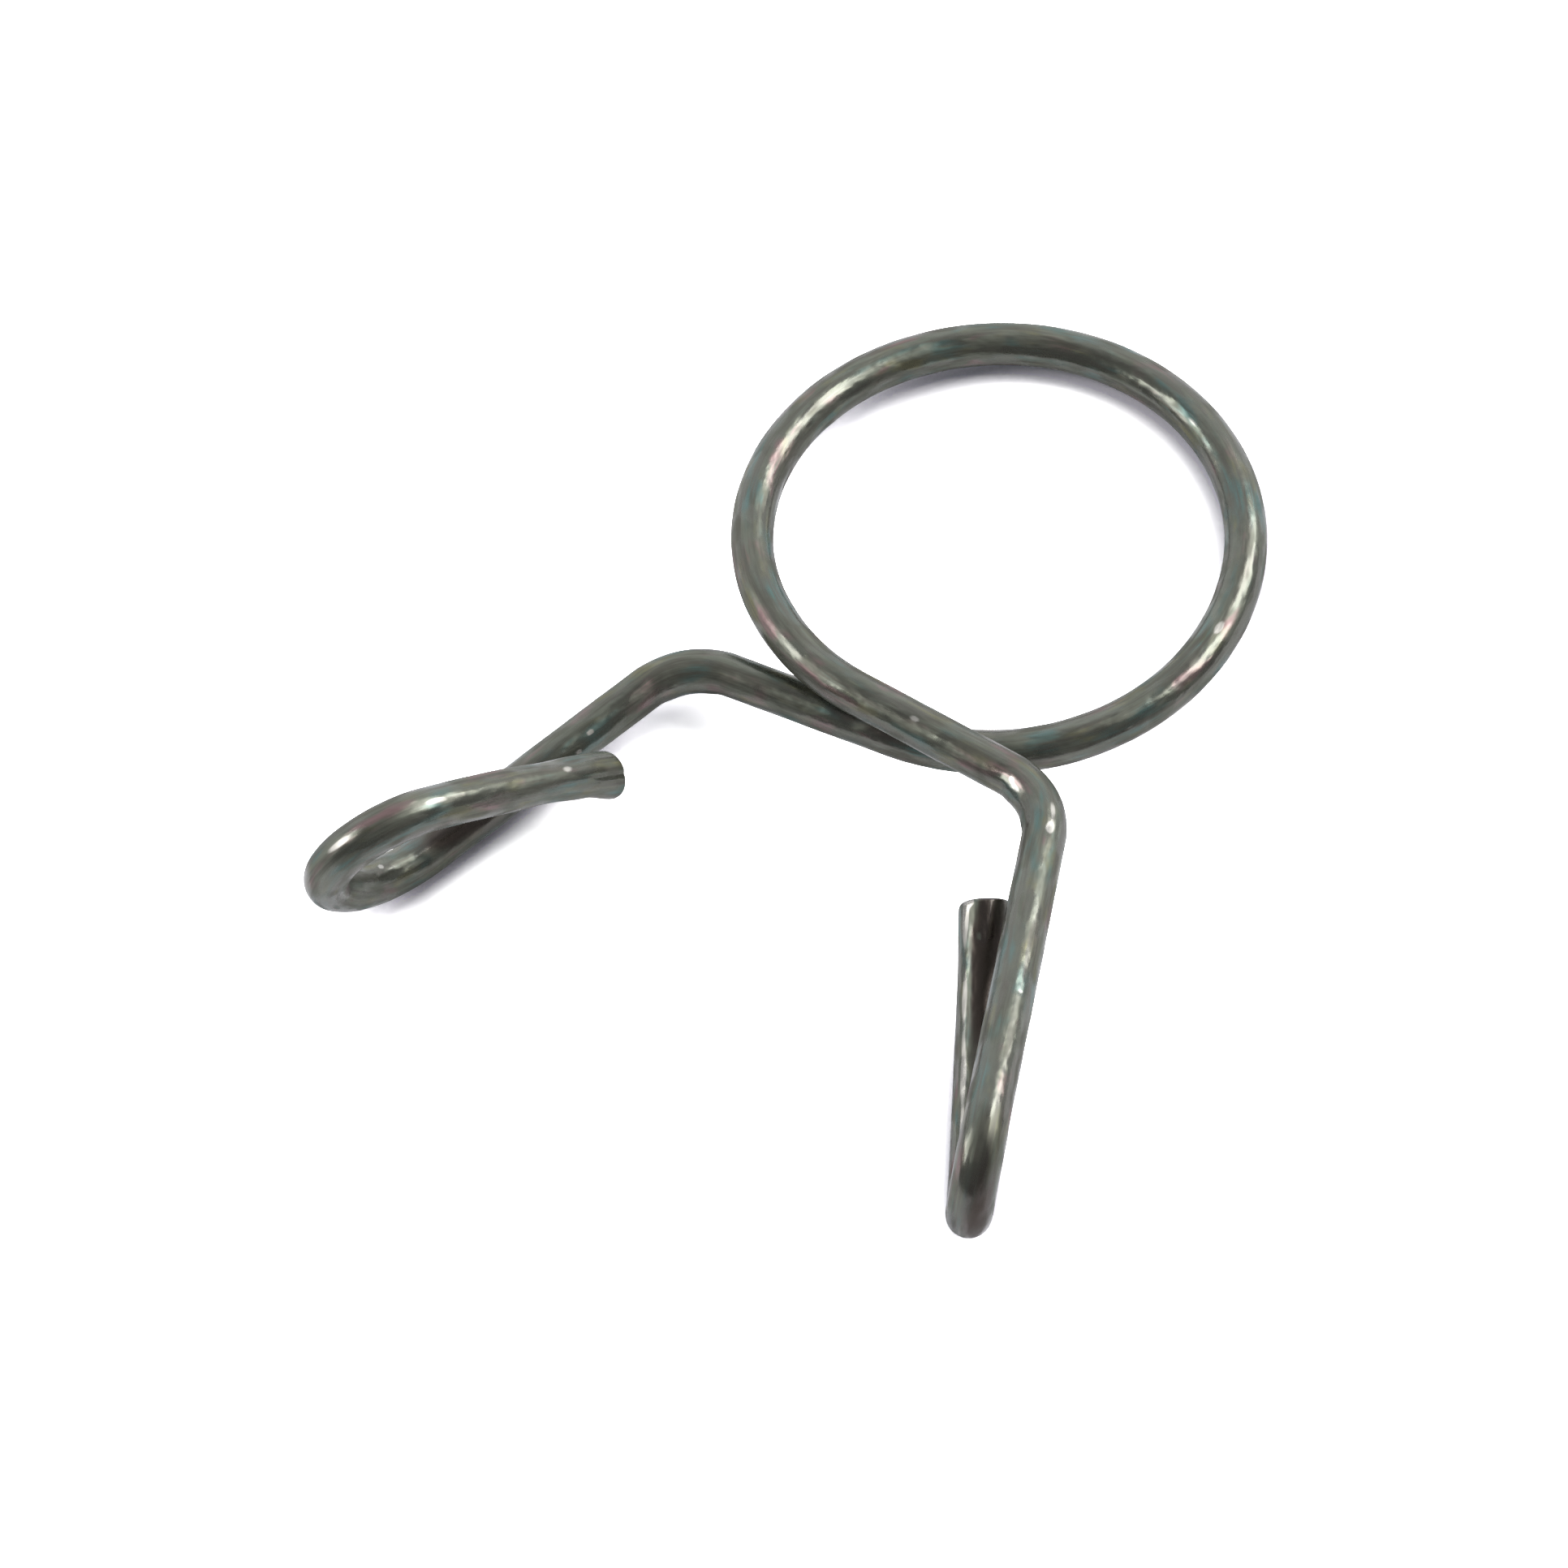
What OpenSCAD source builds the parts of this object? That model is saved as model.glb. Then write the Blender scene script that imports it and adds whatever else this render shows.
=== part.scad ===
// Spring wire hose clip: one length of round spring steel wire, bent into a round
// hoop whose two ends cross, turn out at an elbow and end in a folded finger tab.
// The hoop lies round the Z axis with its crown at +Y, and the tabs reach to -Y.
// The over side passes over the crossing and ends in the +X tab. The under side
// passes below it and ends in the -X tab. Each node is a length of the one wire.
// Sizes are in millimetres and angles in degrees.

/* [Wire] */
// Diameter of the spring wire
wire_diameter = 1.5; // [1.2:0.1:1.8]

/* [Hoop] */
// Inside diameter of the hoop with nothing in it
hoop_inside = 15.5; // [12.5:0.5:20]
// Depth of the flat that coiling leaves along the inside of the hoop
coiling_flat = 0.03; // [0.02:0.01:0.05]
// Clear height between the two lengths of wire where they cross
crossing_gap = 0.1; // [0.05:0.05:0.4]
// How far short of half a turn each side of the hoop stops
crossing_lean = 4.3; // [2:0.1:8]
// Straight run from the end of the hoop to the elbow
crossing_run = 6.2; // [5:0.1:8]

/* [Elbows] */
// Radius of the elbow, to the middle of the wire
elbow_radius = 2.7; // [2:0.1:3.5]
// Angle that the elbow turns through
elbow_angle = 65; // [55:1:75]
// Tilt of the elbow out of the plane of the hoop
elbow_tilt = 3.5; // [0:0.5:6]

/* [Over tab] */
// Straight arm from the elbow to the fold of the over tab
over_arm_length = 11.6; // [8:0.1:15]
// Tilt of the fold of the over tab about its arm
over_fold_tilt = 5; // [0:0.5:8]
// Radius of the fold of the over tab, to the middle of the wire
over_fold_radius = 2.1; // [1.6:0.1:5]
// Angle that the fold of the over tab turns through
over_fold_angle = 129; // [60:1:130]
// Sideways twist of the return of the over tab
over_twist = 9; // [0:0.5:20]
// Radius of the turn of the over tab, to the middle of the wire
over_turn_radius = 2.6; // [1.6:0.1:3.6]
// Length of the return from the turn to the cut end of the over tab
over_return_length = 9.3; // [6:0.1:11]
// Clear distance from the cut end of the over tab to its arm
over_end_gap = 0.75; // [0.2:0.05:2]

/* [Under tab] */
// Straight arm from the elbow to the fold of the under tab
under_arm_length = 9.3; // [8:0.1:15]
// Tilt of the fold of the under tab about its arm
under_fold_tilt = 7.5; // [0:0.5:8]
// Radius of the fold of the under tab, to the middle of the wire
under_fold_radius = 4.3; // [1.6:0.1:5]
// Angle that the fold of the under tab turns through
under_fold_angle = 69; // [60:1:130]
// Sideways twist of the return of the under tab
under_twist = 13; // [0:0.5:20]
// Radius of the turn of the under tab, to the middle of the wire
under_turn_radius = 2.6; // [1.6:0.1:3.6]
// Length of the return from the turn to the cut end of the under tab
under_return_length = 8.2; // [6:0.1:11]
// Clear distance from the cut end of the under tab to its arm
under_end_gap = 0.8; // [0.2:0.05:2]

/* [Returns] */
// Radius of the slight bow of both returns, to the middle of the wire
return_bow_radius = 40; // [25:5:80]

/* [Spring] */
// Half of the angle of the hoop that the crown takes up
crown_half_angle = 22.5; // [15:0.5:30]
// Angle of the hoop between two neighbouring lengths that flex
flex_step = 45; // [40:1:50]

/* [Hidden] */
$fn = 64;

// Radius of the hoop, to the middle of the wire
hoop_radius = (hoop_inside + wire_diameter) / 2;

// Height that the seat cut needs to clear the wire on both sides
seat_cut_height = 8 * wire_diameter;

// The crossing lies this far down the tilted side, from its tangent at the crown's end
crossing_reach = hoop_radius * (1 + cos(crown_half_angle) / cos(crossing_lean));

// Tilt that lifts each side by half a wire and half the gap at the crossing
side_tilt = asin((wire_diameter + crossing_gap) / 2 / crossing_reach);

// Angle of the hoop that is left for the haunch
haunch_angle = 180 - crossing_lean - crown_half_angle - 2 * flex_step;

// Steepest lean of a return towards its arm, and halvings of the range to find the lean
steepest_lean = 60;
lean_halvings = 24;

wire_color = [0.30, 0.32, 0.28];
tab_color = [0.34, 0.36, 0.32];

// A place on the wire is a 4 x 4 matrix: the wire runs along its Z and bends to its X
function shift(v) = [[1, 0, 0, v[0]], [0, 1, 0, v[1]], [0, 0, 1, v[2]], [0, 0, 0, 1]];

function swing(a) = [[cos(a), 0, sin(a), 0], [0, 1, 0, 0], [-sin(a), 0, cos(a), 0], [0, 0, 0, 1]];

// The place after turning the bending plane about the wire
function rolled(m, a) =
    m * [[cos(a), -sin(a), 0, 0], [sin(a), cos(a), 0, 0], [0, 0, 1, 0], [0, 0, 0, 1]];

// The place after a straight run
function fed(m, run) = m * shift([0, 0, run]);

// The place after a bend
function bent(m, radius, a) = m * shift([radius, 0, 0]) * swing(a) * shift([-radius, 0, 0]);

// Middle of the crown, looking to -X and bending to the middle of the hoop
crown_middle = [[0, 0, -1, 0], [-1, 0, 0, hoop_radius], [0, 1, 0, 0], [0, 0, 0, 1]];

crown_start = bent(crown_middle, hoop_radius, -crown_half_angle);

// The part of both sides that is alike, up to the start of the arm
shoulder_start = rolled(bent(crown_middle, hoop_radius, crown_half_angle), side_tilt);
flank_start = bent(shoulder_start, hoop_radius, flex_step);
haunch_start = bent(flank_start, hoop_radius, flex_step);
crossing_start = bent(haunch_start, hoop_radius, haunch_angle);
elbow_start = rolled(fed(crossing_start, crossing_run), 180 - elbow_tilt);
arm_start = bent(elbow_start, elbow_radius, elbow_angle);

function origin(m) = [m[0][3], m[1][3], m[2][3]];

function side_way(m) = [m[0][0], m[1][0], m[2][0]];

function wire_way(m) = [m[0][2], m[1][2], m[2][2]];

// Angle that a return turns through over its slight bow
function bow_angle(run) = run / return_bow_radius * 180 / PI;

// The place at the cut end of a return
function bowed(m, run) = bent(m, return_bow_radius, bow_angle(run));

// Whether the cut end of a return lies clear of the line of its arm, on the folded side
function end_is_clear(fold, turn, radius, a, run, gap) =
    let(reach = origin(bowed(bent(turn, radius, a), run)) - origin(fold))
    reach * side_way(fold) > 0 && norm(cross(reach, wire_way(fold))) > wire_diameter + gap;

// Angle of a turn that brings the cut end to the end gap, by halving the range it lies in
function closing_angle(fold, turn, radius, run, gap, low, high, halvings) =
    let(middle = (low + high) / 2)
    halvings == 0 ? middle
    : end_is_clear(fold, turn, radius, middle, run, gap)
        ? closing_angle(fold, turn, radius, run, gap, middle, high, halvings - 1)
        : closing_angle(fold, turn, radius, run, gap, low, middle, halvings - 1);

// The over tab folds down and the under tab, as the half turn below shows it, folds up
over_fold_start = rolled(fed(arm_start, over_arm_length), 90 - over_fold_tilt);
over_turn_start = rolled(bent(over_fold_start, over_fold_radius, over_fold_angle), -over_twist);
over_turn_angle = closing_angle(over_fold_start, over_turn_start, over_turn_radius,
    over_return_length, over_end_gap,
    180 - over_fold_angle, 180 - over_fold_angle + steepest_lean, lean_halvings);
over_return_start = bent(over_turn_start, over_turn_radius, over_turn_angle);
under_fold_start = rolled(fed(arm_start, under_arm_length), 90 - under_fold_tilt);
under_turn_start = rolled(bent(under_fold_start, under_fold_radius, under_fold_angle), -under_twist);
under_turn_angle = closing_angle(under_fold_start, under_turn_start, under_turn_radius,
    under_return_length, under_end_gap,
    180 - under_fold_angle, 180 - under_fold_angle + steepest_lean, lean_halvings);
under_return_start = bent(under_turn_start, under_turn_radius, under_turn_angle);

// A straight length of wire from a place
module straight_wire(place, run) {
    multmatrix(place)
        cylinder(d = wire_diameter, h = run);
}

// A bent length of wire from a place
module bent_wire(place, radius, a) {
    multmatrix(place)
        translate([radius, 0, 0])
            rotate([90, 0, 180])
                rotate_extrude(angle = a)
                    translate([radius, 0])
                        circle(d = wire_diameter);
}

// The under side is the over side turned half way round the Y axis
module under_side() {
    rotate([0, 180, 0])
        children();
}

// The flat inside of the hoop, where the wire bears on the hose
module seat_cut() {
    difference() {
        children();
        cylinder(d = hoop_inside + 2 * coiling_flat, h = seat_cut_height, center = true);
    }
}

module hoop_crown() {
    color(wire_color)
        seat_cut()
            bent_wire(crown_start, hoop_radius, 2 * crown_half_angle);
}

module over_shoulder() {
    color(wire_color)
        seat_cut()
            bent_wire(shoulder_start, hoop_radius, flex_step);
}

module over_flank() {
    color(wire_color)
        seat_cut()
            bent_wire(flank_start, hoop_radius, flex_step);
}

module over_haunch() {
    color(wire_color)
        seat_cut()
            bent_wire(haunch_start, hoop_radius, haunch_angle);
}

module over_crossing() {
    color(wire_color)
        straight_wire(crossing_start, crossing_run);
}

module over_elbow() {
    color(wire_color)
        bent_wire(elbow_start, elbow_radius, elbow_angle);
}

module over_arm() {
    color(tab_color)
        straight_wire(arm_start, over_arm_length);
}

module over_fold() {
    color(tab_color)
        bent_wire(over_fold_start, over_fold_radius, over_fold_angle);
}

module over_turn() {
    color(tab_color)
        bent_wire(over_turn_start, over_turn_radius, over_turn_angle);
}

module over_return() {
    color(tab_color)
        bent_wire(over_return_start, return_bow_radius, bow_angle(over_return_length));
}

module under_shoulder() {
    color(wire_color)
        seat_cut()
            under_side()
                bent_wire(shoulder_start, hoop_radius, flex_step);
}

module under_flank() {
    color(wire_color)
        seat_cut()
            under_side()
                bent_wire(flank_start, hoop_radius, flex_step);
}

module under_haunch() {
    color(wire_color)
        seat_cut()
            under_side()
                bent_wire(haunch_start, hoop_radius, haunch_angle);
}

module under_crossing() {
    color(wire_color)
        under_side()
            straight_wire(crossing_start, crossing_run);
}

module under_elbow() {
    color(wire_color)
        under_side()
            bent_wire(elbow_start, elbow_radius, elbow_angle);
}

module under_arm() {
    color(tab_color)
        under_side()
            straight_wire(arm_start, under_arm_length);
}

module under_fold() {
    color(tab_color)
        under_side()
            bent_wire(under_fold_start, under_fold_radius, under_fold_angle);
}

module under_turn() {
    color(tab_color)
        under_side()
            bent_wire(under_turn_start, under_turn_radius, under_turn_angle);
}

module under_return() {
    color(tab_color)
        under_side()
            bent_wire(under_return_start, return_bow_radius, bow_angle(under_return_length));
}

hoop_crown();
over_shoulder();
over_flank();
over_haunch();
over_crossing();
over_elbow();
over_arm();
over_fold();
over_turn();
over_return();
under_shoulder();
under_flank();
under_haunch();
under_crossing();
under_elbow();
under_arm();
under_fold();
under_turn();
under_return();
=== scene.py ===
import math

import bmesh
import bpy
from mathutils import Matrix, Vector, noise


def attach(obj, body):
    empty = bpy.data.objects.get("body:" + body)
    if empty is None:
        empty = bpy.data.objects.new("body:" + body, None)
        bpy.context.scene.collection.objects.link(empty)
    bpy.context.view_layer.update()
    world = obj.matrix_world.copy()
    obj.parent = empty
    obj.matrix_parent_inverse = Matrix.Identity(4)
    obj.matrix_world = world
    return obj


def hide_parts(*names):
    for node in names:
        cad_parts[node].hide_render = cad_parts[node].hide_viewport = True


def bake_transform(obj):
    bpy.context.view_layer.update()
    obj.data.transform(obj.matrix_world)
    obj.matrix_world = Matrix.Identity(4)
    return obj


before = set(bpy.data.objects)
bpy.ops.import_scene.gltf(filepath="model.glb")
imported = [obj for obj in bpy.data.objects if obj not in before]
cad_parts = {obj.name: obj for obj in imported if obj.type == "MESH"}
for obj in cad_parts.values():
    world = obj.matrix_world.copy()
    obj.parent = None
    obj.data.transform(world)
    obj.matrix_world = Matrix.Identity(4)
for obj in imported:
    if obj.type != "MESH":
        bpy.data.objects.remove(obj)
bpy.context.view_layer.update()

# ---- Camera
# A long lens looks down on the clip over its finger tabs, turned a little so that
# the hoop stands to the upper right.
MM = 0.001
look_turn, look_height, look_roll = (math.radians(a) for a in (35.29, 55.85, -5.25))
look_at = Vector((-1.233, -12.403, 0)) * MM
look_from = 204.98 * MM
sensor_width = 36
focal_length = 139.68
nearest_seen, farthest_seen = 0.01, 10

look_back = Vector((math.sin(look_turn) * math.cos(look_height),
                    -math.cos(look_turn) * math.cos(look_height),
                    math.sin(look_height)))
look_right = Vector((math.cos(look_turn), math.sin(look_turn), 0))
look_pose = Matrix((look_right, look_back.cross(look_right), look_back)).transposed()
camera_data = bpy.data.cameras.new("camera")
camera_data.sensor_width, camera_data.lens = sensor_width, focal_length
camera_data.clip_start, camera_data.clip_end = nearest_seen, farthest_seen
camera = bpy.data.objects.new("camera", camera_data)
camera.matrix_world = (Matrix.Translation(look_at + look_back * look_from)
                       @ (look_pose @ Matrix.Rotation(look_roll, 3, "Z")).to_4x4())
bpy.context.scene.collection.objects.link(camera)
bpy.context.scene.camera = camera
bpy.context.scene.view_settings.view_transform = "Standard"

# ---- Surroundings
# A dim room with a pale wall behind the clip, which lights it from beyond the hoop. Two
# soft boxes stand in it, a wide one high on the right and a square one low on the left.
room_dim, wall_bright = 0.20, 1.25
wall_edges = (-0.1, 0.95)
room_tint = (0.96, 0.97, 1.0)
white = (1.0, 1.0, 1.0)
soft_box_tint = (1.0, 0.99, 0.97)
soft_boxes = {
    # turn from the way the camera looks, height, roll, width, depth (degrees), brightness
    "high_box": (74, 47, -16, 40, 30, 7.9),
    "low_box": (-88, 31, 0, 28, 28, 6.0),
}
box_distance = 0.4
ahead = Vector((-math.sin(look_turn), math.cos(look_turn), 0))


class Value:
    """A value on its way from one shader node to the next. Python's own signs add Math nodes."""

    def __init__(self, finish, socket):
        self.finish, self.socket = finish, socket

    def maths(self, operation, *ends):
        return self.finish.add("ShaderNodeMath", {"operation": operation}, ends)

    def __add__(self, other):
        return self.maths("ADD", self, other)

    def __sub__(self, other):
        return self.maths("SUBTRACT", self, other)

    def __rsub__(self, other):
        return self.maths("SUBTRACT", other, self)

    def __mul__(self, other):
        return self.maths("MULTIPLY", self, other)

    __radd__, __rmul__ = __add__, __mul__


class Finish:
    """The nodes of one surface, or of the surroundings."""

    def __init__(self, tree):
        self.tree = tree
        self.tree.nodes.clear()

    def add(self, kind, settings, values, output=0):
        """A node with its settings, then the values or links of its sockets. Gives one output."""
        node = self.tree.nodes.new(kind)
        for name, setting in settings.items():
            setattr(node, name, setting)
        pairs = values.items() if isinstance(values, dict) else enumerate(values)
        for name, value in pairs:
            if isinstance(value, Value):
                self.tree.links.new(value.socket, node.inputs[name])
            else:
                node.inputs[name].default_value = value
        return Value(self, node.outputs[output] if node.outputs else None)

    def mix(self, share, low, high):
        """A colour between two, by a share from 0 to 1."""
        low, high = ((*c, 1) if isinstance(c, tuple) else c for c in (low, high))
        return self.add("ShaderNodeMix", {"data_type": "RGBA"}, {0: share, 6: low, 7: high}, 2)

    def between(self, value, low, high, to_low=0.0, to_high=1.0):
        """Brings a value from its range, smoothly, to another."""
        return self.add("ShaderNodeMapRange", {"interpolation_type": "SMOOTHSTEP"},
                        [value, low, high, to_low, to_high])


room = bpy.data.worlds.new("room")
bpy.context.scene.world = room
room.use_nodes = True
air = Finish(room.node_tree)
way = air.add("ShaderNodeTexCoord", {}, {}, "Generated")
to_wall = air.add("ShaderNodeVectorMath", {"operation": "DOT_PRODUCT"}, [way, ahead], "Value")
level = air.between(to_wall, *wall_edges, room_dim, wall_bright)
seen = air.add("ShaderNodeLightPath", {}, {}, "Is Camera Ray")
level = level * (1 - seen) + seen
shade = air.mix(seen, room_tint, white)
glow = air.add("ShaderNodeBackground", {}, {"Color": shade, "Strength": level})
air.add("ShaderNodeOutputWorld", {}, {"Surface": glow})

for name, (turn, height, roll, wide, deep, brightness) in soft_boxes.items():
    turn, height = math.radians(turn), math.radians(height)
    out = (ahead * math.cos(turn) + look_right * math.sin(turn)) * math.cos(height)
    out = out + Vector((0, 0, math.sin(height)))
    box = bpy.data.lights.new(name, "AREA")
    box.shape = "RECTANGLE"
    box.size = 2 * box_distance * math.tan(math.radians(wide / 2))
    box.size_y = 2 * box_distance * math.tan(math.radians(deep / 2))
    box.energy = brightness * math.pi * box.size * box.size_y
    box.color = soft_box_tint
    lamp = bpy.data.objects.new(name, box)
    lamp.matrix_world = (Matrix.Translation(look_at + out * box_distance)
                         @ out.to_track_quat("Z", "Y").to_matrix().to_4x4()
                         @ Matrix.Rotation(math.radians(roll), 4, "Z"))
    lamp.visible_camera = False
    bpy.context.scene.collection.objects.link(lamp)

# ---- Floor
# A sheet of white card. The clip lies on the back of its crown, the fold of the over
# tab and the arm of the under tab, which tips the card against the hoop by 4 degrees.
# Between these three the card is soft and bows down, so that nothing else touches it.
# The plane through the three: its way up, and how far it lies below the hoop's middle.
floor_way = Vector((-0.01032, -0.07125, 0.99740))
floor_depth = 1.370 * MM
floor_reach = 1.5
floor_sides = 96
bow_middle = Vector((1.0, -6.2, 0)) * MM
bow_depth, bow_length, bow_width, bow_turn = 1.8 * MM, 9.6 * MM, 7 * MM, 28
first_ring, ring_gap, bow_rings = 0.5 * MM, 1 * MM, 35
card_white, card_mirrored = (0.76, 0.76, 0.76), (0.94, 0.94, 0.99)
# The second colour is a painted shadow, what the camera sees of the card close under the wire.
card_open, card_painted_shadow = (4.2, 4.2, 4.2), (0.84, 0.82, 0.92)
# How far round the wire the painted shadow reaches, and over which openness it fades to white.
painted_shadow_reach = 2.2 * MM
painted_shadow_edges = (0.52, 0.86)


def drawn_on(mesh, edges):
    """Extrudes a ring of edges. Gives the corners and the edges of the new ring."""
    made = bmesh.ops.extrude_edge_only(mesh, edges=edges)["geom"]
    corners = [v for v in made if isinstance(v, bmesh.types.BMVert)]
    held = set(corners)
    return corners, [e for e in made if isinstance(e, bmesh.types.BMEdge)
                     and e.verts[0] in held and e.verts[1] in held]


mesh = bmesh.new()
bmesh.ops.create_circle(mesh, cap_ends=True, segments=floor_sides, radius=first_ring,
                        matrix=Matrix.Translation((0, 0, -bow_depth)))
edges, reach = list(mesh.edges), first_ring
for wider in [*(ring_gap * n for n in range(1, bow_rings + 1)), floor_reach]:
    ring, edges = drawn_on(mesh, edges)
    bmesh.ops.scale(mesh, vec=(wider / reach, wider / reach, 1), verts=ring)
    for v in ring:
        v.co.z = -bow_depth * math.exp(-(wider / bow_length) ** 2)
    reach = wider
mesh.normal_update()
bmesh.ops.reverse_faces(mesh, faces=[f for f in mesh.faces if f.normal.z < 0])
bow_middle.z = -(floor_depth + bow_middle.dot(floor_way)) / floor_way.z
tip_over = Vector((0, 0, 1)).rotation_difference(floor_way).to_matrix().to_4x4()
bmesh.ops.transform(mesh, verts=mesh.verts, matrix=(
    Matrix.Translation(bow_middle) @ tip_over @ Matrix.Rotation(math.radians(bow_turn), 4, "Z")
    @ Matrix.Diagonal((1, bow_width / bow_length, 1, 1))))
for f in mesh.faces:
    f.smooth = True
floor_data = bpy.data.meshes.new("floor")
mesh.to_mesh(floor_data)
mesh.free()
floor = bpy.data.objects.new("floor", floor_data)
bpy.context.scene.collection.objects.link(floor)

# From above the card is white, with a painted shadow close under the wire: where the wire
# hides much of the card's surroundings, the colour the camera sees turns a darker lavender grey.
# What it throws on the wire, what the wire mirrors and what the camera sees each have a white
# of their own. From below it is clear, so that it hides nothing of the clip.
floor_data.materials.append(bpy.data.materials.new("white_card"))
floor_data.materials[0].use_nodes = True
card = Finish(floor_data.materials[0].node_tree)
looked_at = card.add("ShaderNodeLightPath", {}, {}, "Is Camera Ray")
mirrored = card.add("ShaderNodeLightPath", {}, {}, "Is Glossy Ray")
# Ambient occlusion near the wire mixes the painted shadow colour into what the camera sees.
openness = card.add("ShaderNodeAmbientOcclusion", {"samples": 8}, {"Distance": painted_shadow_reach}, "AO")
seen_card_painted_shadow = card.mix(card.between(openness, *painted_shadow_edges), card_painted_shadow, card_open)
face = card.add("ShaderNodeBsdfDiffuse", {}, {
    "Color": card.mix(looked_at, card.mix(mirrored, card_white, card_mirrored), seen_card_painted_shadow)})
from_below = card.add("ShaderNodeNewGeometry", {}, {}, "Backfacing")
clear = card.add("ShaderNodeBsdfTransparent", {}, {})
sheet = card.add("ShaderNodeMixShader", {}, [from_below, face, clear])
card.add("ShaderNodeOutputMaterial", {}, {"Surface": sheet})

# ---- Spring wire
# Hard-drawn round steel wire, tempered in oil, which leaves a dark grey-green skin with
# lengthwise lines from the drawing die, straw and blue-green tints, dents and a few nicked
# places. Some of the bright bare places are painted glints, and darker, browner patches are
# painted shade.
wire_thick = 1.5 * MM
wire_sides = 60
ring_step = 0.12 * MM
lump_height, lump_waves, lump_along = 0.010 * MM, 1.1, 0.8
# A bend thickens the wire's inner side, thins its outer side and widens it a little.
bend_swell, outer_share, width_share = 0.15, 0.35, 0.2
widest_swollen = 5 * MM
swell_growth = 0.7 * MM

skin_dark, skin_light = (0.112, 0.120, 0.097), (0.160, 0.172, 0.141)
skin_lines = (0.106, 0.106, 0.088)
tint_blue, tint_plum = (0.101, 0.159, 0.147), (0.195, 0.136, 0.134)
tint_straw = (0.158, 0.155, 0.096)
# The bright colour of bare steel at a nick, also used for painted glints, and a darker, browner
# colour for painted shade.
bare_and_glint_bright = (0.42, 0.41, 0.38)
painted_shade_brown = (0.066, 0.054, 0.046)
skin_gloss, skin_dull = 0.24, 0.42
skin_metal, skin_index = 0.75, 1.6
skin_reflection = (0.68, 0.68, 0.68, 1)
film_share, film_roughness = 0.6, 0.15
dent_depth, line_depth, scratch_depth = 0.018, 0.009, 0.0004

# Every mark begins with its place along the wire from the crown, which is below zero on the
# under side, its turn about the wire in degrees, its length and its width. A nick then has its
# depth and how far the skin is off; its bare bright skin is partly a real nick and partly a
# painted glint where light catches the wire. A painted glint has only how bright it is, and a
# bump, where a tool pressed the wire out, has its height. Painted shade makes the wire darker and
# browner in the folds and where one wire lies in the shade of the other, by a share. All lengths
# are in millimetres.
# Nicked places, partly real dents and partly painted glints.
nicks_and_glints = [
    (35.5, 73, 0.24, 0.15, 0.025, 1.0), (34.8, 70, 0.45, 0.12, 0.012, 0.6),
    (33.2, 138, 0.42, 0.13, 0.022, 0.6), (32.8, 128, 0.20, 0.12, 0.015, 0.6),
    (36.0, -80, 0.40, 0.14, 0.025, 0.8), (-35.5, -50, 0.40, 0.14, 0.025, 0.9),
    (42.4, 64, 0.13, 0.12, 0.006, 0.6), (45.0, -60, 0.20, 0.12, 0.012, 0.9),
    (28.6, 112, 0.24, 0.12, 0.010, 0.7), (62.4, -110, 0.14, 0.07, 0.010, 1.0),
    (9.0, -120, 0.25, 0.12, 0.012, 0.9), (-4.0, 57, 0.40, 0.12, 0.010, 0.5),
    (-13.3, 98, 0.30, 0.14, 0.016, 0.8), (-22.0, -90, 0.30, 0.10, 0.012, 0.8),
    (-38.0, 123, 0.15, 0.10, 0.010, 0.75), (-38.7, 147, 0.16, 0.10, 0.010, 0.75),
    (-47.3, 93, 0.18, 0.13, 0.004, 0.9), (-48.0, 10, 0.25, 0.12, 0.012, 0.7),
]
# Painted glints, along the rim of the over return and on the under tab.
painted_glints = [
    (63.2, -151, 1.30, 0.19, 1.1), (60.4, -143, 1.50, 0.17, 1.1), (57.6, -137, 1.30, 0.14, 1.0),
    (55.6, -134, 0.60, 0.10, 0.8), (63.6, -134, 0.16, 0.16, 0.9), (-61.84, -68, 0.25, 0.16, 0.6),
    (-53.3, -63, 0.45, 0.14, 0.75), (-56.2, -75, 0.45, 0.13, 0.65),
]
bumps = [
    (63.4, -32, 1.40, 0.50, 0.13), (63.4, 168, 1.30, 0.35, 0.06),
    (-46.8, 84, 1.00, 0.40, 0.036), (-54.6, -136, 1.20, 0.40, 0.036),
]
# Painted shade, where one wire lies in the shade of the other or inside a fold.
painted_shade_spots = [
    (61.2, -88, 3.20, 0.80, 1.0), (-43.0, 105, 2.40, 0.80, 0.9), (-26.0, 80, 3.00, 0.80, 0.7),
    (-51.0, 60, 2.50, 0.60, 0.7), (50.5, 60, 2.50, 0.60, 0.7),
]
marks = (nicks_and_glints + [(*spot, 0, wear_and_painted_light) for *spot, wear_and_painted_light in painted_glints]
         + [(*spot, -height, 0) for *spot, height in bumps]
         + [(*spot, 0, -share) for *spot, share in painted_shade_spots])
mark_reach = 3  # times its length, where a mark has faded out


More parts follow.
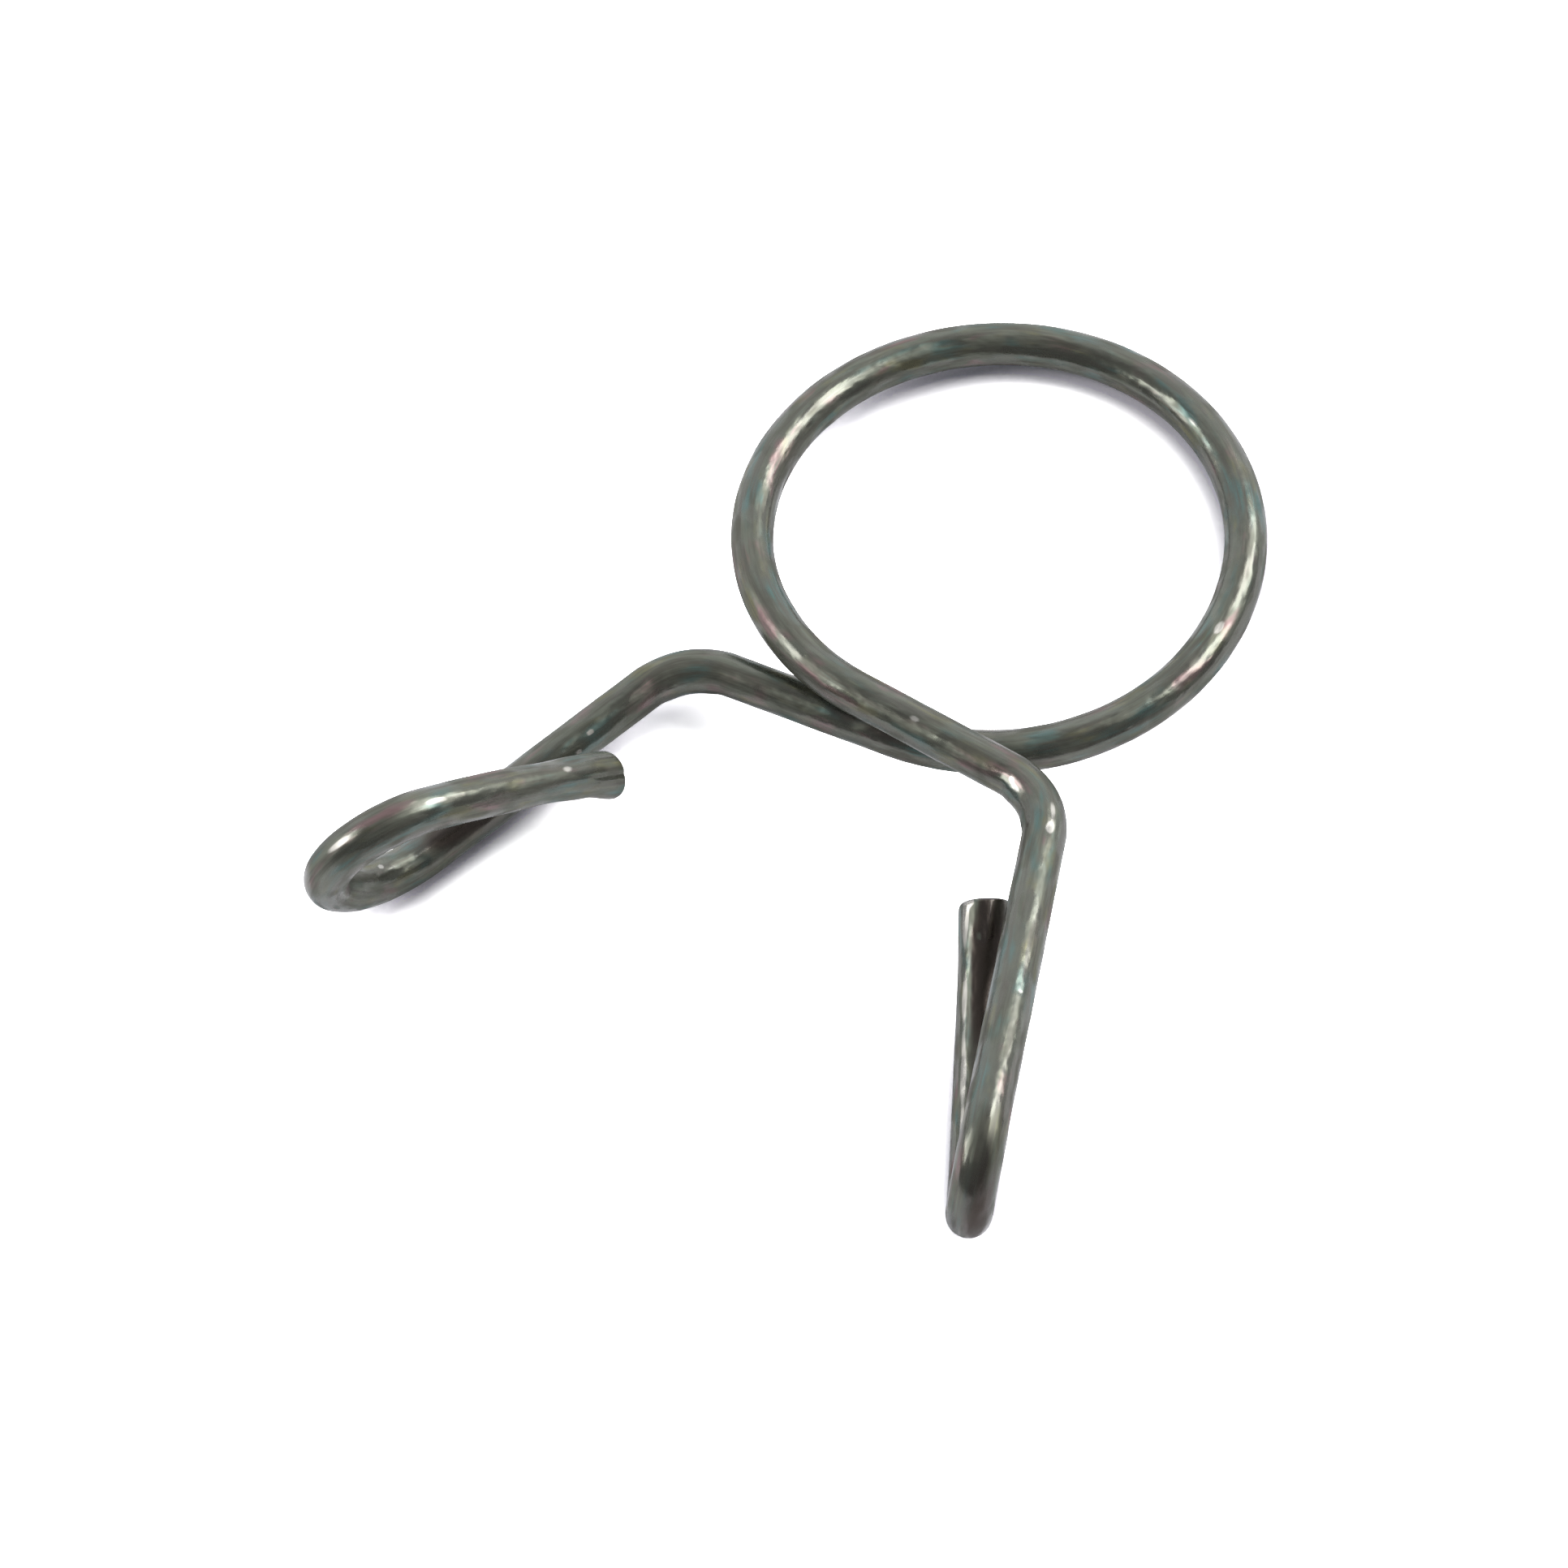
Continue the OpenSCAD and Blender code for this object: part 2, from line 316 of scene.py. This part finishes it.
def wire_finish():
    """The dark tempered skin. It reads where each point was while the wire was straight."""
    material = bpy.data.materials.new("tempered_wire")
    material.use_nodes = True
    skin = Finish(material.node_tree)
    place = skin.add("ShaderNodeAttribute", {"attribute_name": "drawn"}, {}, "Vector")

    def pattern(across, along, detail=2.0, roughness=0.5, shift=0.0):
        """A cloudy pattern with so many waves to the millimetre across and along the wire."""
        point = skin.add("ShaderNodeVectorMath", {"operation": "MULTIPLY_ADD"},
                         [place, (across / MM, across / MM, along / MM), (shift, 0, shift)])
        return skin.add("ShaderNodeTexNoise", {}, {
            "Vector": point, "Scale": 1, "Detail": detail, "Roughness": roughness})

    fine_lines = pattern(14, 0.7, 2, 0.6)
    wide_lines = pattern(4.0, 0.30, 2, 0.5, 7)
    dents = pattern(1.9, 0.9, 2, 0.5, 3)
    patches = pattern(2.4, 0.9, 1, 0.5, 31)
    blotches = pattern(1.1, 0.40, 3, 0.6, 11)
    warmth = pattern(1.3, 0.45, 2, 0.6, 23)
    straw = pattern(1.6, 0.55, 2, 0.6, 47)
    grey = skin.mix(skin.between(blotches, 0.32, 0.68), skin_dark, skin_light)
    cool = skin.mix(skin.between(warmth, 0.50, 0.70), grey, tint_blue)
    warm = skin.mix(skin.between(warmth, 0.44, 0.28), cool, tint_plum)
    olive = skin.mix(skin.between(straw, 0.52, 0.74), warm, tint_straw)
    lines = skin.between(fine_lines * 0.35 + wide_lines * 0.65, 0.36, 0.60)
    lined = skin.mix(lines, skin_lines, olive)
    # Above zero the skin is off at a nick, partly real and partly a painted glint, in the bare
    # bright colour; below zero it is painted shade, darker and browner.
    wear_and_painted_light = skin.add("ShaderNodeAttribute", {"attribute_name": "wear_and_painted_light"}, {}, "Fac")
    bare = skin.between(wear_and_painted_light + patches * 0.4, 0.45, 0.75)
    painted_shade = skin.between(wear_and_painted_light + patches * 0.5, 0.1, -0.4)
    colour = skin.mix(bare, skin.mix(painted_shade, lined, painted_shade_brown), bare_and_glint_bright)
    dull = skin.between(patches * 0.5 + blotches * 0.5, 0.42, 0.58)
    shine = skin.between(dull, 0, 1, skin_gloss, skin_dull)
    height = (skin.between(dents, 0.30, 0.70) * dent_depth + wide_lines * line_depth
              + fine_lines * scratch_depth)
    relief = skin.add("ShaderNodeBump", {}, {"Strength": 1, "Distance": MM, "Height": height})
    shader = skin.add("ShaderNodeBsdfPrincipled", {}, {
        "Base Color": colour, "Metallic": skin_metal, "Roughness": shine,
        "IOR": skin_index, "Specular Tint": skin_reflection, "Normal": relief,
        "Coat Weight": (1 - dull) * film_share, "Coat Roughness": film_roughness})
    skin.add("ShaderNodeOutputMaterial", {}, {"Surface": shader})
    return material


tempered_wire = wire_finish()


def eased(value):
    """A smooth step from 0 to 1."""
    value = min(1, max(0, value))
    return value * value * (3 - 2 * value)


class Wire:
    """The wire as it is fed and bent. The place is where the bending tool holds it: the wire
    runs along its Z and bends to its X. The way is 1 on the over side and -1 on the under."""

    def __init__(self, start, place, way):
        self.place, self.way, self.fed = place.copy(), way, 0
        self.begin()
        self.ring = bmesh.ops.create_circle(
            self.mesh, segments=wire_sides, radius=wire_thick / 2, matrix=start)["verts"]
        for v in self.ring:
            v[self.drawn] = start.inverted() @ v.co
            v[self.outward] = (v.co - start.to_translation()).normalized()
        self.rims = list(self.mesh.edges)

    def begin(self):
        """Starts the mesh of a length. Each point keeps its place in the straight wire, its way
        out from the middle of the wire, how far it is raised, and how far its skin is off,
        with painted glints above zero and painted shade below."""
        self.mesh = bmesh.new()
        layers = self.mesh.verts.layers
        self.drawn, self.outward = (layers.float_vector.new(n) for n in ("drawn", "outward"))
        self.raised, self.wear_and_painted_light = (layers.float.new(n) for n in ("raised", "wear_and_painted_light"))

    def feed_to(self, place, run, swell=0.0):
        """Draws the open ring on to the next place, swollen by a share of the wire's radius."""
        self.ring, self.rims = drawn_on(self.mesh, self.rims)
        move = place @ self.place.inverted()
        bmesh.ops.transform(self.mesh, matrix=move, verts=self.ring)
        inward = place.to_3x3() @ Vector((1, 0, 0))
        for v in self.ring:
            v[self.drawn].z += self.way * run
            v[self.outward] = move.to_3x3() @ v[self.outward]
            side = v[self.outward].dot(inward)
            v[self.raised] = swell * wire_thick / 2 * (
                max(side, outer_share * side) + width_share * (1 - side * side))
        self.place = place
        self.fed += run

    def straight(self, run):
        count = max(1, round(run / ring_step))
        for _ in range(count):
            self.feed_to(self.place @ Matrix.Translation((0, 0, run / count)), run / count)

    def roll(self, degrees):
        """Turns the bending plane about the wire."""
        self.place = self.place @ Matrix.Rotation(math.radians(degrees), 4, "Z")

    def bend(self, radius, degrees, spacing=ring_step):
        angle = math.radians(degrees)
        count = max(1, round(radius * angle / spacing))
        step = (Matrix.Translation((radius, 0, 0)) @ Matrix.Rotation(angle / count, 4, "Y")
                @ Matrix.Translation((-radius, 0, 0)))
        swell = bend_swell * wire_thick / radius if radius < widest_swollen else 0
        for n in range(1, count + 1):
            near = eased(min(n, count - n) * spacing / swell_growth)
            self.feed_to(self.place @ step, radius * angle / count, swell * near)

    def roughen(self):
        """Moves each point out by what it is raised, and by the lumps and the marks."""
        for v in self.mesh.verts:
            at = v[self.drawn] / MM
            lump = noise.noise(Vector((at.x, at.y, at.z * lump_along)) * lump_waves)
            dent = 0
            for run, turn, long, wide, depth, wear_and_painted_light in marks:
                if abs(at.z - run) < mark_reach * long:
                    off = math.remainder(math.atan2(at.y, at.x) - math.radians(turn), math.tau)
                    near = math.exp(-((at.z - run) / long) ** 2
                                    - (off * wire_thick / MM / 2 / wide) ** 2)
                    dent += depth * MM * near
                    # A nick or a painted glint adds to the skin's share, and painted shade takes
                    # from it.
                    v[self.wear_and_painted_light] += wear_and_painted_light * near
            v.co += v[self.outward] * (v[self.raised] + lump_height * lump - dent)

    def cut(self, name):
        """Closes this length, makes it an object, and starts the next one from its last ring."""
        ends = [e for e in self.mesh.edges if e.is_boundary]
        last = [(v.co.copy(), v[self.drawn].copy(), v[self.outward].copy()) for v in self.ring]
        self.roughen()
        caps = bmesh.ops.holes_fill(self.mesh, edges=ends, sides=0)["faces"]
        bmesh.ops.recalc_face_normals(self.mesh, faces=self.mesh.faces[:])
        for f in self.mesh.faces:
            f.smooth = f not in caps
        for e in ends:
            e.smooth = False
        data = bpy.data.meshes.new(name)
        self.mesh.to_mesh(data)
        self.mesh.free()
        data.materials.append(tempered_wire)
        piece = bpy.data.objects.new(name, data)
        bpy.context.scene.collection.objects.link(piece)
        self.begin()
        self.ring = []
        for co, drawn, outward in last:
            v = self.mesh.verts.new(co)
            v[self.drawn], v[self.outward] = drawn, outward
            self.ring.append(v)
        neighbours = zip(self.ring, self.ring[1:] + self.ring[:1])
        self.rims = [self.mesh.edges.new(pair) for pair in neighbours]
        return piece


# ---- Hoop
# The middle of the wire, coiled cold round an arbor to an open ring, whose sides lean out
# to pass each other at the crossing. Squeezing the tabs bends it open. Each side is made
# as three lengths.
hoop_inside = 15.5 * MM
hoop_radius = (hoop_inside + wire_thick) / 2
coiling_flat = 0.03 * MM
flat_fade = 1 * MM
crossing_gap = 0.1 * MM
crossing_lean = 4.3
hoop_half_angle = 180 - crossing_lean
# The hinges lie at the crown's half angle and one and two steps further on.
crown_half = 22.5
flex_step = 45
flexing_end = crown_half + 2.5 * flex_step
side_tilt = math.degrees(math.asin((wire_thick + crossing_gap) / 2 / (hoop_radius * (
    1 + math.cos(math.radians(crown_half)) / math.cos(math.radians(crossing_lean))))))
# At the middle of the crown the wire runs to -X and bends to -Y.
crown = Matrix(((0, 0, -1, 0), (-1, 0, 0, hoop_radius), (0, 1, 0, 0), (0, 0, 0, 1)))


def flatten_seat(piece):
    """Pushes the inside of the hoop out to the flat that the arbor leaves, to the hoop's end."""
    inside = hoop_inside / 2 + coiling_flat
    hoop_end = hoop_radius * math.radians(hoop_half_angle)
    for v, drawn in zip(piece.data.vertices, piece.data.attributes["drawn"].data):
        reach = math.hypot(v.co.x, v.co.y)
        share = eased((hoop_end - abs(drawn.vector.z)) / flat_fade)
        if reach < inside and share > 0:
            out = 1 + share * (inside / reach - 1)
            v.co.x, v.co.y = v.co.x * out, v.co.y * out


wires = {
    "over": Wire(crown, crown, 1),
    "under": Wire(crown, Matrix.Rotation(math.pi, 4, "Y") @ crown, -1),
}
for side, wire in wires.items():
    lengths = [
        ("shoulder", "crown", side + "_shoulder", ["hoop_crown", side + "_shoulder"]),
        ("flank", side + "_shoulder", side + "_flank", [side + "_flank"]),
        ("haunch", side + "_flank", side + "_leg", [side + "_haunch"]),
    ]
    for name, body, next_body, nodes in lengths:
        if name == "shoulder":
            wire.bend(hoop_radius, crown_half)
            wire.roll(side_tilt)
            wire.bend(hoop_radius, flex_step / 2)
        else:
            wire.bend(hoop_radius, flex_step)
        piece = wire.cut(f"{side}_{name}_wire")
        flatten_seat(piece)
        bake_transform(piece)
        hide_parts(*nodes)

# ---- Legs
# The rest of the wire: past the crossing it turns out at an elbow to the arm that a finger
# pushes, and folds back beside it. Blades shear it off there, which leaves a bare grey face,
# one edge of it drawn in and a small burr on the far side.
crossing_run = 6.2 * MM
elbow_radius, elbow_angle, elbow_tilt = 2.7 * MM, 65, 3.5
return_bow = 40 * MM
# Millimetres and degrees. The fold and the turn each have a radius and an angle. The tilt
# and the twist roll the wire before them, and back is the length of the return.
legs = {
    "over": dict(arm=11.6, tilt=5, fold=(2.1, 129), twist=9, turn=(2.6, 61.907), back=9.3),
    "under": dict(arm=9.3, tilt=7.5, fold=(4.3, 69), twist=13, turn=(2.6, 141.062), back=8.2),
}
# How the blades left each end: the side of the drawn-in edge (degrees) and its height, the
# height of the burr, how far the end flares and is necked behind, and where a crease runs.
cut_ends = {
    "over": dict(rolled_side=-87, rolled=0.28, burr=0.05, flare=0.03, neck=0),
    "under": dict(rolled_side=122, rolled=0.30, burr=0.10, flare=0.17, neck=0.05, crease=-144),
}
end_length, end_step = 0.35 * MM, 0.025 * MM
blade_reach = 5
least_rolled, rolled_power, burr_power = 0.04, 1.5, 3
flare_length = 1.3
neck_place, neck_reach = 3.3, 1.7
crease_depth, crease_width, crease_length, crease_fade = 0.05, 7, 1.2, 0.7
torn_dark, torn_light = (0.20, 0.19, 0.175), (0.36, 0.35, 0.33)
grain_waves, grain_depth = 9, 0.02
cut_gloss, cut_dull = 0.34, 0.5


def cut_finish():
    """Bare steel where the blades went through, grey and grainy."""
    material = bpy.data.materials.new("sheared_steel")
    material.use_nodes = True
    bare = Finish(material.node_tree)
    place = bare.add("ShaderNodeAttribute", {"attribute_name": "drawn"}, {}, "Vector")
    grains = bare.add("ShaderNodeTexNoise", {}, {
        "Vector": place, "Scale": grain_waves / MM, "Detail": 3, "Roughness": 0.6})
    colour = bare.mix(bare.between(grains, 0.35, 0.65), torn_dark, torn_light)
    relief = bare.add("ShaderNodeBump", {}, {
        "Strength": 1, "Distance": MM, "Height": grains * grain_depth})
    shader = bare.add("ShaderNodeBsdfPrincipled", {}, {
        "Base Color": colour, "Metallic": 0.9, "Normal": relief,
        "Roughness": bare.between(grains, 0.3, 0.7, cut_gloss, cut_dull)})
    bare.add("ShaderNodeOutputMaterial", {}, {"Surface": shader})
    return material


def shear(wire, rolled_side, rolled, burr, flare, neck, crease=None):
    """Shapes the end of the wire as the blades leave it, by what is left of it at each point
    and by the turn about it from the bending plane."""
    first = wire.place.inverted().to_3x3() @ wire.ring[0][wire.outward]
    drawn = wire.ring[0][wire.drawn]
    spin = math.atan2(first.y, first.x) - wire.way * math.atan2(drawn.y, drawn.x)
    along = wire.place.to_3x3() @ Vector((0, 0, 1))
    last = set(wire.ring)
    for v in wire.mesh.verts:
        left = (wire.fed - abs(v[wire.drawn].z)) / MM
        if left > blade_reach:
            continue
        turn = wire.way * math.atan2(v[wire.drawn].y, v[wire.drawn].x) + spin
        side = math.cos(turn - math.radians(rolled_side))
        far = ((1 - side) / 2) ** burr_power
        height = flare * far * (1 - eased(left / flare_length))
        height -= neck * side * side * (1 - eased(abs(left - neck_place) / neck_reach))
        if crease is not None:
            off = math.degrees(math.remainder(turn - math.radians(crease), math.tau))
            height -= (crease_depth * math.exp(-(off / crease_width) ** 2)
                       * (1 - eased((left - crease_length) / crease_fade)))
        edge = least_rolled + (rolled - least_rolled) * ((1 + side) / 2) ** rolled_power
        if left < edge:
            height -= edge * (1 - math.sqrt(max(0, 1 - (1 - left / edge) ** 2)))
        v[wire.raised] += height * MM
        if v in last:
            v.co += along * burr * far * MM


sheared_steel = cut_finish()
for side, leg in legs.items():
    wire = wires[side]
    wire.bend(hoop_radius, hoop_half_angle - flexing_end)
    wire.straight(crossing_run)
    wire.roll(180 - elbow_tilt)
    wire.bend(elbow_radius, elbow_angle)
    wire.straight(leg["arm"] * MM)
    wire.roll(90 - leg["tilt"])
    wire.bend(leg["fold"][0] * MM, leg["fold"][1])
    wire.roll(-leg["twist"])
    wire.bend(leg["turn"][0] * MM, leg["turn"][1])
    wire.bend(return_bow, math.degrees((leg["back"] * MM - end_length) / return_bow))
    wire.bend(return_bow, math.degrees(end_length / return_bow), end_step)
    shear(wire, **cut_ends[side])
    tip = wire.place.to_translation()
    piece = wire.cut(f"{side}_leg_wire")
    wire.mesh.free()
    flatten_seat(piece)
    piece.data.materials.append(sheared_steel)
    caps = [f for f in piece.data.polygons if len(f.vertices) == wire_sides]
    min(caps, key=lambda f: (f.center - tip).length).material_index = 1
    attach(piece, side + "_leg")
    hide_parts(*(f"{side}_{n}" for n in (
        "haunch", "crossing", "elbow", "arm", "fold", "turn", "return")))
